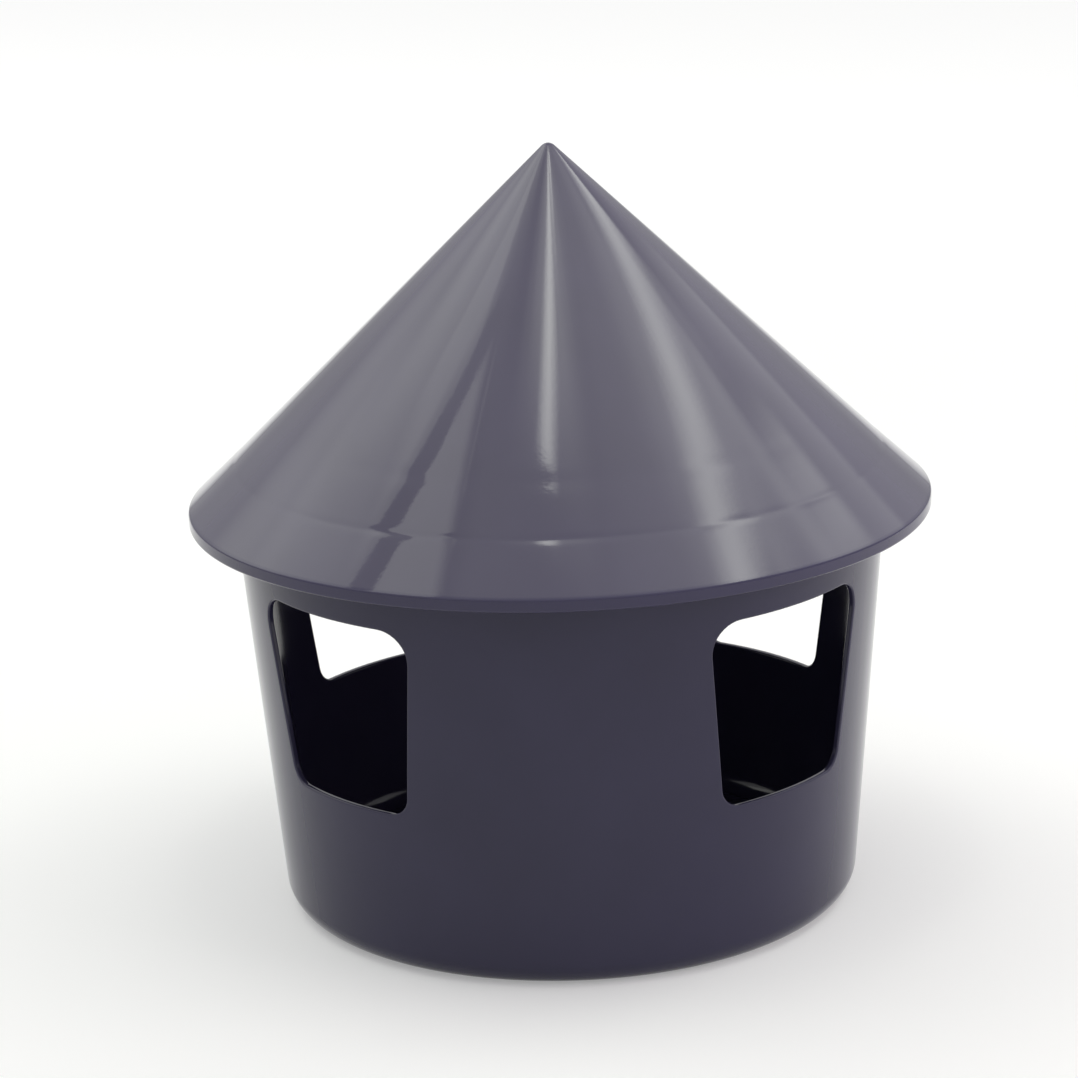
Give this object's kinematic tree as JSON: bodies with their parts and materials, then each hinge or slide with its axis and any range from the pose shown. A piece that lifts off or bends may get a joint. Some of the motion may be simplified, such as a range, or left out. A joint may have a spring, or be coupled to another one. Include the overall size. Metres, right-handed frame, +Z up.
{
  "type": "pigeon drinker",
  "caption": "Round plastic pigeon drinker: a tub with drinking windows above a water bowl, under a lift-off conical roof.",
  "frame": {"origin": "centre of the tub's underside, in the plane of the flat ring that it stands on", "axes": "+Z up along the common axis of tub and roof; a drinking window faces each of +X, +Y, -X and -Y"},
  "size_m": [0.25, 0.25, 0.2586],
  "materials": {
    "tub_plastic": "glossy moulded plastic, dark slate grey with a purple tint",
    "roof_plastic": "glossy moulded plastic, dark slate grey with a purple tint"
  },
  "bodies": {
    "tub": {"tub": "tub_plastic"},
    "roof": {"roof": "roof_plastic"}
  },
  "joints": [
    {"name": "roof_lift", "type": "slide", "parent": "tub", "child": "roof", "axis": [0, 0, 1], "range_m": [0, 0.08]}
  ]
}
